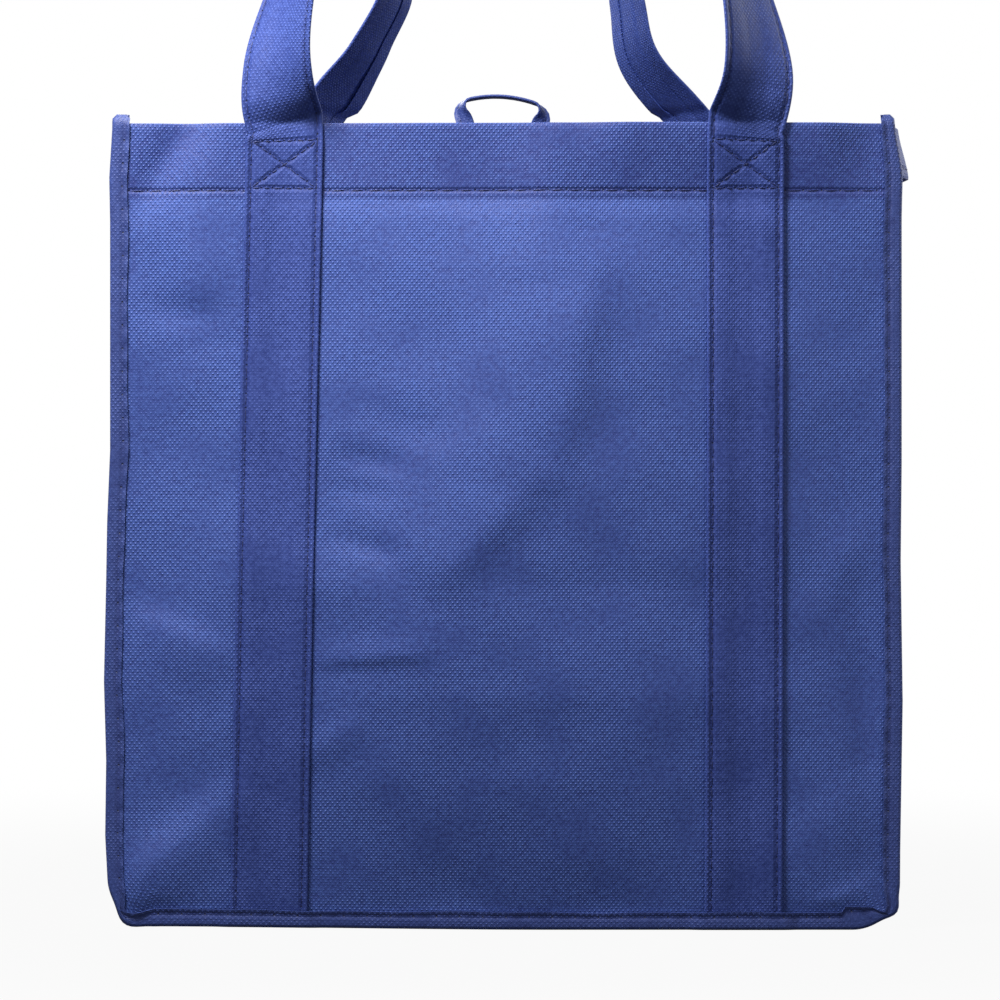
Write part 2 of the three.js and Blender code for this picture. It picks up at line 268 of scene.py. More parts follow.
back_creases = [
    ((-30, 300), (20, 190), 13, 2.7, 2.2),
    ((20, 205), (66, 150), 10, 2.4, 2.0),
    ((72, 118), (22, 112), 2.6, 1.4, 2.6),
    ((110, 60), (152, 18), 5, 2.7, 1.6),
    ((-110, 52), (-152, 20), 5, 2.1, 1.4),
    ((-60, 216), (-18, 206), 5, -1.5, 1.0),
    ((-146, 180), (-142, 40), 7, -1.8, 1.0),
    ((128, 345), (132, 282), 10, -2.1, 1.0),
]


slack_heights = [0, 8, 30, 60, 95, 150, 220, 270, 290, 297, 328]
slack_depths = [0, 0.5, 4.1, 8.1, 11.3, 12.0, 9.2, 6.0, 4.2, 2.6, 2.3]
peak_heights = [60, 140, 185, 265]
peak_places = [0, -22, 16, 36]
slack_half = 154
hem_tilt = 4.2


def swell(x, z, facing):
    """How far a panel stands out from the flat, in mm. facing is -1 at the front, 1 at the back."""
    peak = -facing * np.interp(z, peak_heights, peak_places)
    left = smooth(-slack_half, peak, x) ** 0.8
    right = smooth(slack_half, peak, x) ** 0.8
    out = np.interp(z, slack_heights, slack_depths) * np.minimum(left, right)
    held = smooth(160, 148, abs(x)) * smooth(3, 14, z)
    if facing < 0:
        out = out + hem_tilt * smooth(26, 52, x) * smooth(150, 128, x) * smooth(292, 332, z)
    for start, end, width, height, lee in front_creases if facing < 0 else back_creases:
        out = out + held * crease(x, z, start, end, width, height, lee)
    ripple = np.sin(x / 9.1 + 1.3 * np.sin(z / 23)) * np.sin(z / 7.7 + 1.1 * np.sin(x / 31))
    waves = np.sin(x / 21 + z / 34 + facing) * np.sin(z / 17 - x / 47)
    return out + held * (0.16 * ripple + 0.42 * waves)


# How far the side edges lie to the right of a straight line at these heights, seen from the front
left_heights = [0, 18, 38, 69, 101, 142, 166, 195, 288, 306, 326]
left_shifts = [0, -1, -2, -1.6, -2.5, -1.6, -1.2, 0, 0, -0.4, 0.8]
right_heights = [0, 32, 93, 150, 190, 290, 308, 328]
right_shifts = [-0.8, -0.6, 0.4, -0.4, 0, 0, 0.5, -1.5]
left_slump = 3.3
right_slump = 2.6
slump_reach = 19
left_rise = 1.4


def settle(points):
    """Where the points of the bag as sewn lie once it has been carried, stood up and has slumped"""
    x, y, z = points.T.copy()
    front = smooth(-20, -70, y)
    back = smooth(20, 70, y)
    low_z = np.minimum(z, bag_height)
    above = smooth(430, 330, z)
    y = y - front * above * swell(x, low_z, -1) + back * above * swell(x, low_z, 1)
    beside = smooth(120, 150, abs(x)) * smooth(420, 340, z)
    left = np.interp(z, left_heights, left_shifts)
    right = np.interp(z, right_heights, right_shifts)
    waver = 0.5 * np.sin(z / 19 + 2) * smooth(0, 60, z)
    at_left = front * left - back * (right + waver)
    at_right = front * right + back * (waver - left)
    x = x + beside * np.where(x < 0, at_left, at_right)
    corner_x = abs(x) - (wall_x - corner_radius)
    corner_z = floor_z + corner_radius - z
    reach = np.hypot(corner_x, corner_z) + 1e-6
    angle = np.degrees(np.arctan2(corner_z, corner_x))
    slump = np.where(x < 0, left_slump * mound(54, 17, angle), right_slump * mound(35, 13, angle))
    in_corner = (corner_x > 0) & (corner_z > 0)
    push = slump * in_corner * np.minimum(reach / slump_reach, 1.2)
    x = x + np.sign(x) * push * corner_x / reach
    z = z - push * corner_z / reach
    z = z + smooth(60, 0, z) * left_rise * smooth(20, -150, x) * front
    return np.stack([x, y, np.maximum(z, ply / 2 + 0.01)], axis=1)


def spread(start, end, step):
    return list(np.linspace(start, end, max(2, round(abs(end - start) / step) + 1)))


def joined(*stretches):
    """One list of stations from several that share their ends"""
    stations = list(stretches[0])
    for stretch in stretches[1:]:
        stations += stretch[1:]
    return stations


def mirrored(stations):
    """Stations on both sides of the first one, which is 0"""
    return [-station for station in stations[:0:-1]] + stations


def cut_cloth(name, columns, rows, place, material):
    """A piece of cloth: a grid over the flat cloth, put where place says, then given its thickness.
    Its UV map is the flat cloth in metres."""
    bpy.ops.object.select_all(action="DESELECT")
    bpy.ops.mesh.primitive_grid_add(
        x_subdivisions=len(columns) - 1, y_subdivisions=len(rows) - 1, size=2
    )
    piece = bpy.context.object
    piece.name = name
    mesh = piece.data
    mesh.name = name
    grid = np.empty(len(mesh.vertices) * 3)
    mesh.vertices.foreach_get("co", grid)
    grid = (grid.reshape(-1, 3) + 1) / 2
    u = np.array(columns)[np.rint(grid[:, 0] * (len(columns) - 1)).astype(int)]
    v = np.array(rows)[np.rint(grid[:, 1] * (len(rows) - 1)).astype(int)]
    mesh.vertices.foreach_set("co", (place(u, v) / 1000).ravel())
    corners = np.empty(len(mesh.loops), dtype=int)
    mesh.loops.foreach_get("vertex_index", corners)
    mesh.uv_layers.active.data.foreach_set("uv", (np.stack([u, v], 1)[corners] / 1000).ravel())
    mesh.update()
    thickness = piece.modifiers.new("thickness", "SOLIDIFY")
    thickness.thickness = ply / 1000
    thickness.offset = 0
    bpy.ops.object.modifier_apply(modifier="thickness")
    bpy.ops.object.shade_smooth_by_angle(angle=math.radians(50))
    mesh.materials.append(material)
    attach(piece, "root")
    return piece


def hem_fold(height):
    """How high cloth lies that runs up to the hem's fold and down behind it, and how far inside"""
    turn = np.clip((height - hem_start) / fold_radius, 0, math.pi)
    past = np.clip(height - hem_start - fold_length, 0, None)
    z = np.minimum(height, hem_start) + fold_radius * np.sin(turn) - past
    return z, fold_radius * (1 - np.cos(turn))


eased_width = 20


def panel_place(facing):
    """Puts a panel in place, with the cloth near its side edges eased into the rounded corners"""

    def place(u, v):
        z, inside = hem_fold(v)
        low = np.clip((raw_z + raw_radius - z) / raw_radius, 0, 1)
        half = raw_x - raw_radius * (1 - np.sqrt(1 - low**2))
        eased_from = raw_x - eased_width
        eased = np.clip((abs(u) - eased_from) / eased_width, 0, 1)
        eased_x = eased_from + eased * (half - eased_from)
        across = np.where(abs(u) > eased_from, eased_x, abs(u)) * np.sign(u)
        return settle(np.stack([-facing * across, facing * (panel_y - inside), z], axis=1))

    return place


emboss_pitch_u = 1.95
emboss_pitch_v = 2.26
groove_rim = 0.0017
groove_floor = 0.0002
hole_rim = 0.00045
hole_floor = 0.00018
# Needle holes are painted this near-black: painted shade inside each hole.
hole_shade_colour = (0.004, 0.006, 0.02, 1)
# Cloth over a second ply is painted darker by this much: painted shade, for the light that comes
# through one ply but not two.
doubled_shade = 0.18


def cloth_material(
    name, dark, light, seams, sheen=0.06, shine=0.45, emboss_depth=1.0, doubled=None
):
    """Spun non-woven cloth: fine matted fibres pressed with staggered rows of dots, which are
    painted lighter, partly as the cloth's pattern and partly as a painted highlight. Each seam is
    (start, end, pitch) on the flat cloth in mm: its thread dents the cloth and its needle left
    holes, and both are darkened with painted shade. Cloth more than doubled mm from the middle of v
    lies on a second ply and is darker, a painted shade for the light that comes through one ply but
    not two."""
    material, wire = start_material(name)
    flat = wire.node("ShaderNodeUVMap", {"uv_map": "UVMap"})
    u = wire.node("ShaderNodeSeparateXYZ", {}, {0: flat}, "X")
    v = wire.node("ShaderNodeSeparateXYZ", {}, {0: flat}, "Y")
    turn_u = u * (2000 * math.pi / emboss_pitch_u)
    turn_v = v * (2000 * math.pi / emboss_pitch_v)
    dots = turn_u.math("COSINE", turn_u) * turn_v.math("COSINE", turn_v)
    bumps = dots.math("MAXIMUM", dots, 0.0)
    bumps = bumps * bumps
    fibres = wire.node(
        "ShaderNodeTexNoise", {}, {"Vector": flat, "Scale": 2600.0, "Detail": 3.0, "Roughness": 0.6}
    )
    tufts = wire.node("ShaderNodeTexNoise", {}, {"Vector": flat, "Scale": 420.0, "Detail": 3.0})
    clouds = wire.node("ShaderNodeTexNoise", {}, {"Vector": flat, "Scale": 38.0, "Detail": 4.0})
    dents = []
    holes = []
    for start, end, pitch in seams:
        length = math.hypot(end[0] - start[0], end[1] - start[1]) / 1000
        way = ((end[0] - start[0]) / 1000 / length, (end[1] - start[1]) / 1000 / length)
        from_u = u - start[0] / 1000
        from_v = v - start[1] / 1000
        along = from_u * way[0] + from_v * way[1]
        aside = from_u * way[1] - from_v * way[0]
        across = aside.math("ABSOLUTE", aside)
        on_seam = along.within(-0.001, length + 0.001)
        dents.append(on_seam * across.fade(groove_rim, groove_floor))
        stitches = along / (pitch / 1000) + 0.5
        from_hole = (stitches.math("FRACT", stitches) - 0.5) * (pitch / 1000)
        near = across * across + from_hole * from_hole
        holes.append(on_seam * near.fade(hole_rim**2, hole_floor**2))
    dent = largest(dents)
    hole = largest(holes)
    relief = bumps * (0.3 + clouds.fade(0.34, 0.6) * 0.7) * emboss_depth
    height = relief + fibres * 0.4 + tufts * 0.4 - dent - hole * 1.6
    # The raised dots are painted lighter: partly the cloth's pressed pattern, partly a painted
    # highlight on the relief.
    tone = 0.33 + relief * 1.05 + (fibres - 0.5) * 0.3 + (tufts - 0.5) * 0.9
    # Seam grooves are painted darker: painted shade in the dent of each thread.
    tone = tone + (clouds - 0.5) * 0.45 - dent * 0.2
    # Painted shade: cloth over a second ply is darker, as less light comes through two plies than
    # one.
    if doubled is not None:
        from_middle = v.math("ABSOLUTE", v)
        second_ply = from_middle.math("GREATER_THAN", from_middle, doubled / 1000)
        tone = tone - second_ply * doubled_shade
    colour = blend(wire, tone, (*dark, 1), (*light, 1))
    bump = wire.node(
        "ShaderNodeBump", {}, {"Height": height, "Strength": 1.0, "Distance": 0.0003}
    )
    shader = wire.node(
        "ShaderNodeBsdfPrincipled",
        {},
        {
            # Needle holes are painted near-black: painted shade.
            "Base Color": blend(wire, hole * 0.7, colour, hole_shade_colour),
            "Roughness": 0.55 + (tufts - 0.5) * 0.2,
            "Normal": bump,
            "Specular IOR Level": shine,
            "Sheen Weight": sheen,
            "Sheen Roughness": 0.45,
            "Sheen Tint": (0.45, 0.58, 1.0, 1),
        },
    )
    show_surface(wire, shader)
    return material


panel_dark = (0.021, 0.038, 0.200)
panel_light = (0.070, 0.142, 0.485)
hem_pitch = 7.4
hem_row_end = 153
hem_row = ((-hem_row_end, hem_stitch), (hem_row_end, hem_stitch), hem_pitch)
panel_cloth = cloth_material(
    "panel_cloth", panel_dark, panel_light, [hem_row], doubled=bag_height - panel_hem
)

panel_columns = spread(-raw_x, raw_x, 2.4)
fold_end = hem_start + fold_length
hem_end = fold_end + hem_start - (bag_height - panel_hem)
panel_rows = joined(
    spread(raw_z, 20, 1.6),
    spread(20, 296, 2.4),
    spread(296, 304, 1.0),
    spread(304, hem_start, 2.4),
    spread(hem_start, fold_end, 0.25),
    spread(fold_end, hem_end, 3),
)
panel_flat = (2 * raw_x / 1000, (hem_end - raw_z) / 1000)
front_panel = cut_cloth(
    "front_panel_cloth", panel_columns, panel_rows, panel_place(-1), panel_cloth
)
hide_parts("front_panel")

# Sewing thread: blue polyester lockstitch. One stitch is modelled, a short twist of thread that
# dips into its two holes, and is copied along the seams of the hems, the bindings and the handles.

thread_radius = 0.17
thread_rise = 0.12
thread_dip = 0.3
stitch_gap = 0.6
bpy.ops.object.select_all(action="DESELECT")
bpy.ops.mesh.primitive_uv_sphere_add(
    segments=6, ring_count=6, radius=1, rotation=(0, math.pi / 2, 0)
)
stitch = bpy.context.object
stitch.name = "one_stitch"
bpy.ops.object.transform_apply(rotation=True)
stitch_points = np.array([point.co for point in stitch.data.vertices])
stitch_faces = [list(face.vertices) for face in stitch.data.polygons]
bpy.data.objects.remove(stitch)

thread, wire = start_material("thread")
spot = wire.node("ShaderNodeTexCoord", output="Object")
twist = wire.node("ShaderNodeTexNoise", {}, {"Vector": spot, "Scale": 2400.0, "Detail": 1.0})
colour = blend(wire, twist, (0.008, 0.013, 0.070, 1), (0.024, 0.038, 0.160, 1))
bump = wire.node("ShaderNodeBump", {}, {"Height": twist, "Strength": 0.5, "Distance": 0.0001})
look = {"Base Color": colour, "Roughness": 0.5, "Normal": bump}
show_surface(wire, wire.node("ShaderNodeBsdfPrincipled", {}, look))


def sew(name, place, seams, lift):
    """Stitches along seams on a piece of cloth that place puts in the scene, lift mm above its
    middle. The stitches end in the holes that the cloth's material draws."""
    points = []
    faces = []
    for start, end, pitch in seams:
        start, end = np.array(start, float), np.array(end, float)
        length = np.linalg.norm(end - start)
        way = (end - start) / length
        holes = np.arange(0, length + 0.01, pitch)
        aside = np.array([-way[1], way[0]])
        for first, last in zip(holes[:-1], holes[1:]):
            drift = 0.16 * np.sin(first * 5.1 + start[0])
            inset = stitch_gap + 0.35 * np.sin(first * 3.7 + start[1])
            first_end = start + way * (first + inset) + aside * drift
            last_end = start + way * (last - inset) - aside * drift
            middle = (first_end + last_end) / 2
            spots = np.array([first_end, middle, last_end, middle + (0.5, 0), middle + (0, 0.5)])
            a, centre, b, beside, beyond = place(spots[:, 0], spots[:, 1])
            out = np.cross(beside - centre, beyond - centre)
            out /= np.linalg.norm(out)
            run = (b - a) / np.linalg.norm(b - a)
            side = np.cross(out, run)
            bend = centre - (a + b) / 2
            reach = stitch_points[:, :1]
            middle_line = (a + b) / 2 + (b - a) / 2 * reach + bend * (1 - reach**2)
            sink = (lift + thread_rise - thread_dip * reach**4) * out
            body = stitch_points[:, 1:2] * side + stitch_points[:, 2:3] * out
            first_vertex = len(points) * len(stitch_points)
            faces += [[first_vertex + index for index in face] for face in stitch_faces]
            points.append(middle_line + sink + thread_radius * body)
    mesh = bpy.data.meshes.new(name)
    mesh.from_pydata((np.concatenate(points) / 1000).tolist(), [], faces)
    mesh.polygons.foreach_set("use_smooth", [True] * len(mesh.polygons))
    mesh.materials.append(thread)
    piece = bpy.data.objects.new(name, mesh)
    bpy.context.scene.collection.objects.link(piece)
    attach(piece, "root")
    return piece


front_hem_thread = sew("front_hem_thread", panel_place(-1), [hem_row], ply / 2)

# Back panel: the same cut piece of embossed non-woven cloth as the front one, hemmed and sewn in
# the same way, with its own slack and creases.

back_panel = cut_cloth("back_panel_cloth", panel_columns, panel_rows, panel_place(1), panel_cloth)
back_hem_thread = sew("back_hem_thread", panel_place(1), [hem_row], ply / 2)
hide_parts("back_panel")

# Gusset strip: one long piece that makes the left side, the bottom and the right side. Both ends
# are hemmed, the long edges turn out into the seams, and the sides keep the crease of flat packing.

side_hem = 22
seam_bend = 1.5
side_bow = 8.5
side_half = 99
packing_crease = 3.2
bottom_valley = 1.8
loose_corner_out = 9.8
half_floor = wall_x - corner_radius
corner_length = math.pi / 2 * corner_radius
wall_start = half_floor + corner_length


def plies_in_seam(z):
    """Plies between a panel and the strip beside it: more where either of them is hemmed"""
    return 1 + smooth(-4, 0, z - bag_height + panel_hem) + smooth(-4, 0, z - bag_height + side_hem)


def strip_line(along):
    """The strip's line seen from the front: up the right side from the middle of the bottom, or up
    the left one where along is negative"""
    side = np.where(along < 0, -1, 1)
    reach = abs(along)
    turn = np.clip((reach - half_floor) / corner_radius, 0, math.pi / 2)
    x = np.minimum(reach, half_floor) + corner_radius * np.sin(turn)
    height = floor_z + corner_radius * (1 - np.cos(turn)) + np.clip(reach - wall_start, 0, None)
    return side * x, height, side * np.sin(turn), -np.cos(turn)


def side_slack(y, z, side):
    """How far a side stands out between its seams: it bows out, keeps the creases of flat packing,
    and the front corner of the right side's hem has come loose"""
    across = 1 - (y / side_half) ** 2
    out = side_bow * smooth(floor_z + corner_radius, bag_height - side_hem, z) * across
    held = smooth(floor_z + corner_radius, floor_z + 60, z) * across
    out = out - packing_crease * held * np.exp(-abs(y) / 7) * smooth(330, 250, z)
    valley = mound(side_half - abs(y), 7, z - 20) * smooth(20, 60, z)
    out = out - bottom_valley * valley * across
    out = out + 1.1 * held * np.sin(z / 31 + side + y / 45) * np.sin(y / 27 + 0.7 * side)
    out = out + 0.35 * held * np.sin(z / 11 + y / 13) * np.sin(y / 9 - z / 23)
    loose_corner = np.where(side > 0, mound(-80, 15, y), 0) * smooth(304.5, 307, z)
    sag = loose_corner_out * loose_corner * smooth(99, 91, abs(y))
    return out + sag * (1 - 0.25 * smooth(307, 328, z))


flange = seam_allowance - seam_bend
bend_length = math.pi / 2 * seam_bend
half_wall = panel_y - ply_pitch - seam_bend
half_strip = half_wall + bend_length + flange


def strip_place(u, v):
    """Puts the strip in place, u across it and v along it from the middle of the bottom"""
    x, height, out_x, out_z = strip_line(v)
    z, folded = hem_fold(height)
    z = np.where(abs(v) > wall_start, z, height)
    folded = np.where(abs(v) > wall_start, folded, 0)
    plies = np.where(folded > 0, 3, plies_in_seam(z))
    wall_y = panel_y - plies * ply_pitch - seam_bend
    turn = np.clip((abs(u) - half_wall) / seam_bend, 0, math.pi / 2)
    out = seam_bend * (1 - np.cos(turn)) + np.clip(abs(u) - half_wall - bend_length, 0, None)
    y = np.sign(u) * (np.minimum(abs(u), half_wall) * wall_y / half_wall + seam_bend * np.sin(turn))
    slack = side_slack(y, z, np.sign(v)) * (abs(v) > wall_start) * (abs(u) < half_wall)
    out = out + slack - folded * np.cos(turn)
    y = y + np.sign(u) * folded * np.sin(turn)
    return settle(np.stack([x + out * out_x, y, z + out * out_z], axis=1))


strip_top = wall_start + hem_start - floor_z - corner_radius
strip_end = strip_top + fold_length + hem_start - (bag_height - side_hem)
half_rows = joined(
    spread(0, half_floor, 4),
    spread(half_floor, wall_start, 1.7),
    spread(wall_start, strip_top - 26, 3),
    spread(strip_top - 26, strip_top - 17, 0.8),
    spread(strip_top - 17, strip_top, 2),
    spread(strip_top, strip_top + fold_length, 0.3),
    spread(strip_top + fold_length, strip_end, 4),
)
half_columns = joined(
    spread(0, half_wall, 3),
    spread(half_wall, half_wall + bend_length, 0.6),
    spread(half_wall + bend_length, half_strip, 2),
)
strip_rows = mirrored(half_rows)
strip_columns = mirrored(half_columns)
side_stitch = strip_top - 16.5
side_row_end = 95
side_rows = [
    ((-side_row_end, row), (side_row_end, row), hem_pitch) for row in (side_stitch, -side_stitch)
]
strip_cloth = cloth_material(
    "strip_cloth", panel_dark, panel_light, side_rows, doubled=strip_top - side_hem
)
gusset = cut_cloth("gusset_strip_cloth", strip_columns, strip_rows, strip_place, strip_cloth)
gusset_thread = sew("gusset_hem_thread", strip_place, side_rows, ply / 2)
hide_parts("gusset_strip")

# Bindings: a tape of the same cloth, folded round the raw edges of each seam from one top corner
# down, along the bottom and up again. It is sewn through near its inner edge and puckers there.

tape_width = 7.3
tape_fold = 1.1
tape_stand_up = 3.5
strap_width = 31.5
strap_spacing_top = 187
strap_spacing_bottom = 193
strap_lift = 2 * ply_pitch
tape_pitch = 9.4
fold_from = tape_out - tape_fold
front_face = tape_width + fold_from - tape_out - ply / 2
back_face = fold_from - seam_bend - 0.3
half_turn = math.pi * tape_fold


def tape_place(facing):
    """Puts a binding in place: wider over the hems, over the lower ends of the straps, round both
    corners and flat above the bag's mouth. u runs from its front edge round to its back edge."""

    def place(u, v):
        x, z, out_x, out_z = strip_line(v)
        top = smooth(bag_height + 0.3, bag_height + tape_stand_up, z)
        from_strap = abs(abs(x) - strap_spacing_bottom / 2) - strap_width / 2 - 0.3
        lift = np.where(abs(v) < half_floor, 1 - smooth(0, 7, from_strap), 0) * strap_lift
        middle = plies_in_seam(z) * ply_pitch / 2 - lift / 2
        half = (middle + ply_pitch + lift) * (1 - top) + fold_radius * top
        turn = np.clip((u - front_face) / tape_fold, 0, math.pi)
        out = fold_from + tape_fold * np.sin(turn)
        out = out - np.clip(front_face - u, 0, None) - np.clip(u - front_face - half_turn, 0, None)
        inside = middle - half * np.cos(turn)
        front_side = smooth(0.9, -0.2, 1 - np.cos(turn))
        tucked = smooth(3.5, 0, u)
        pull = np.sin(math.pi * v / tape_pitch) ** 2
        corner = smooth(0, 0.5, abs(out_x)) * smooth(1, 0.5, abs(out_x))
        pucker = 0.5 * pull * tucked + 0.22 * corner * (1 + np.sin(v * 1.1)) * tucked
        inside = inside - front_side * pucker
        inside = inside - front_side * 0.1 * tucked * np.sin(1.25 * v + 1.1 * u)
        wobble = 0.7 * np.sin(v / 17 + facing) + 0.5 * np.sin(v / 6.3 + 2)
        out = out + 0.35 * wobble * smooth(4, 0, u) - 0.5 * top * np.cos(turn) ** 2
        closed = smooth(bag_height + 1.4, bag_height + tape_stand_up, z) ** 2
        out = out + 1.6 * closed * smooth(4, 0, u)
        if facing < 0:
            pleat = smooth(136.5, 138.5, v) * smooth(0.74, 0.62, abs(out_x))
            out = out - 1.3 * smooth(306, 330, z) * smooth(3, 7, out) * (v > 0)
            out = out - 2.6 * pleat * smooth(5, 2, u)
        narrowed = smooth(bag_height + 1.2, bag_height + tape_stand_up, z) ** 2
        out = out - 1.8 * narrowed * smooth(3, 7, out)
        inner_edge = smooth(front_face, 1.5, u)
        square = corner_radius / np.maximum(np.maximum(abs(out_x), abs(out_z)), 0.7) - corner_radius
        across = out + 0.9 * inner_edge * square
        y = facing * (panel_y - inside)
        return settle(np.stack([x + across * out_x, y, z + across * out_z], axis=1))

    return place


tape_end = wall_start + bag_height + tape_stand_up - floor_z - corner_radius
tape_columns = joined(
    spread(0, front_face, 0.8),
    spread(front_face, front_face + half_turn, 0.5),
    spread(front_face + half_turn, front_face + half_turn + back_face, 1.4),
)
tape_rows = mirrored(
    joined(
        spread(0, half_floor, 1.6),
        spread(half_floor, wall_start, 0.9),
        spread(wall_start, tape_end, 1.6),
    )
)
stitch_in = 2.0
tape_seams = [
    ((stitch_in, 0), (stitch_in, seam_end), tape_pitch) for seam_end in (tape_end - 4, 4 - tape_end)
]
tape_dark = (0.015, 0.029, 0.150)
tape_light = (0.055, 0.096, 0.338)
tape_cloth = cloth_material(
    "tape_cloth", tape_dark, tape_light, tape_seams, sheen=0.05, emboss_depth=0.6
)
bindings = []
tape_threads = []
for name, facing in (("front_binding", -1), ("back_binding", 1)):
    binding = cut_cloth(f"{name}_tape", tape_columns, tape_rows, tape_place(facing), tape_cloth)
    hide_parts(name)
    bindings.append(binding)
    tape_threads.append(sew(f"{name}_thread", tape_place(facing), tape_seams, facing * ply / 2))

# Handles: on each panel one strap with both edges turned under and sewn down, from the bottom seam
# up the panel, free above the hem, and down again. A crossed box holds it at the hem.

turn_under = 9
handle_length = 508
arch_twist = math.pi / 2
strap_stitch = 2.4
edge_in = strap_width / 2 - strap_stitch
strap_pitch = 5.8
leg_bottom = raw_z + ply_pitch
flat_half = strap_width / 2 - ply / 2 - fold_radius


def strap_arch(
    half_spacing,
    free_length,
    bend_radius,
    crown_length,
    crown_heading,
    foot_heading,
    foot_settle,
    knee,
    foot_pitch,
    back_lean,
):
    """Half of a free strap, from its left foot to its top: the length along it, its place, the way
    it runs and its slant. The lean of its straight part is the one that ends it at the middle."""
    half = free_length / 2
    steps = np.linspace(0, half, round(half / 0.5) + 1)

    def walk(lean):
        crown_from = half - crown_length
        bend_from = crown_from - bend_radius * (crown_heading - lean)
        settled = smooth(0, foot_settle, steps)
        knee_turn = knee * np.sin(math.pi * steps / foot_settle) ** 2
        knee_turn = np.where(steps < foot_settle, knee_turn, 0)
        heading = foot_heading + (lean - foot_heading) * settled + knee_turn
        bend = np.minimum(lean + (steps - bend_from) / bend_radius, crown_heading)
        heading = np.where(steps < bend_from, heading, bend)
        if crown_length:
            crowned = np.clip((steps - crown_from) / crown_length, 0, 1)
            heading += crowned * (math.pi / 2 - crown_heading)
        pitch = foot_pitch + (back_lean - foot_pitch) * smooth(0, 0.65 * foot_settle, steps)
        up = np.cos(heading)
        run = np.stack([np.sin(heading), up * np.sin(pitch), up * np.cos(pitch)], 1)
        place = np.cumsum(run[:-1] * (steps[1] - steps[0]), axis=0)
        return np.concatenate([[[0, 0, 0]], place]) + (-half_spacing, 0, 0), run, heading

    low, high = -math.pi / 4, math.pi / 2
    for _ in range(40):
        lean = (low + high) / 2
        if walk(lean)[0][-1, 0] < 0:
            low = lean
        else:
            high = lean
    return steps, *walk(lean)


def turned_over(steps, foot_turn, foot_turn_length, turn_from, turn_over):
    """How far a strap has turned over: one share of it near the foot, the rest further up"""
    early = 1 - (1 - np.minimum(steps / foot_turn_length, 1)) ** 2
    late = smooth(turn_from, turn_from + turn_over, steps)
    return arch_twist * (foot_turn * early + (1 - foot_turn) * late)


def strap_route(legs, half_spacing, free_length, shape, twist, facing, y):
    """Stations along a whole strap, from the bottom of its left leg: length, place, run and face"""
    steps, place, run, heading = strap_arch(half_spacing, free_length, **shape)
    turned = turned_over(steps, **twist)
    run = run * (1, -facing, 1)
    sideways = np.stack([-np.cos(heading), 0 * heading, np.sin(heading)], 1)
    outward = np.stack([0 * turned, facing * np.cos(turned), 0 * turned], 1)
    face = outward + sideways * np.sin(turned)[:, None]
    face -= run * np.sum(face * run, axis=1)[:, None]
    face /= np.linalg.norm(face, axis=1)[:, None]
    place = place * (1, -facing, 1) + (0, y, bag_height)
    leg_place, leg_run = legs
    leg_steps = np.linspace(0, np.linalg.norm(leg_place[1] - leg_place[0]), 40)
    leg = leg_place[0] + leg_run * leg_steps[:, None]
    leg_face = np.tile([0.0, facing, 0.0], (len(leg), 1))
    length = np.concatenate([leg_steps[:-1], leg_steps[-1] + steps])
    place = np.concatenate([leg[:-1], place])
    run = np.concatenate([np.tile(leg_run, (len(leg) - 1, 1)), run])
    face = np.concatenate([leg_face[:-1], face])
    mirror = np.array([-1, 1, 1])
    length = np.concatenate([length, 2 * length[-1] - length[-2::-1]])
    place = np.concatenate([place, place[-2::-1] * mirror])
    run = np.concatenate([run, -run[-2::-1] * mirror])
    face = np.concatenate([face, face[-2::-1] * mirror])
    return length, place, run, face


def along_route(route, section, u, v):
    """Puts points of the flat strap, u across and v along it, on its route"""
    length, *parts = route
    at, way, look = (
        np.stack([np.interp(v, length, part[:, axis]) for axis in range(3)], 1) for part in parts
    )
    across = np.cross(way, look)
    across /= np.linalg.norm(across, axis=1)[:, None]
    side, out = section(u)
    return at + across * side[:, None] + look * out[:, None]


def turned_edges(u):
    """The strap's section: its face, and both edges folded under it"""
    turn = np.clip((abs(u) - flat_half) / fold_radius, 0, math.pi)
    under = np.clip(abs(u) - flat_half - fold_length, 0, None)
    side = np.sign(u) * (np.minimum(abs(u), flat_half) + fold_radius * np.sin(turn) - under)
    hollow = 0.58 * smooth(flat_half - 8, flat_half - 10.6, abs(u))
    sewn = 0.26 * mound(edge_in, 0.8, abs(u)) - 0.12 * smooth(flat_half - 2.2, flat_half, abs(u))
    return side, fold_radius * (1 + np.cos(turn)) - hollow - sewn * (turn < 1)


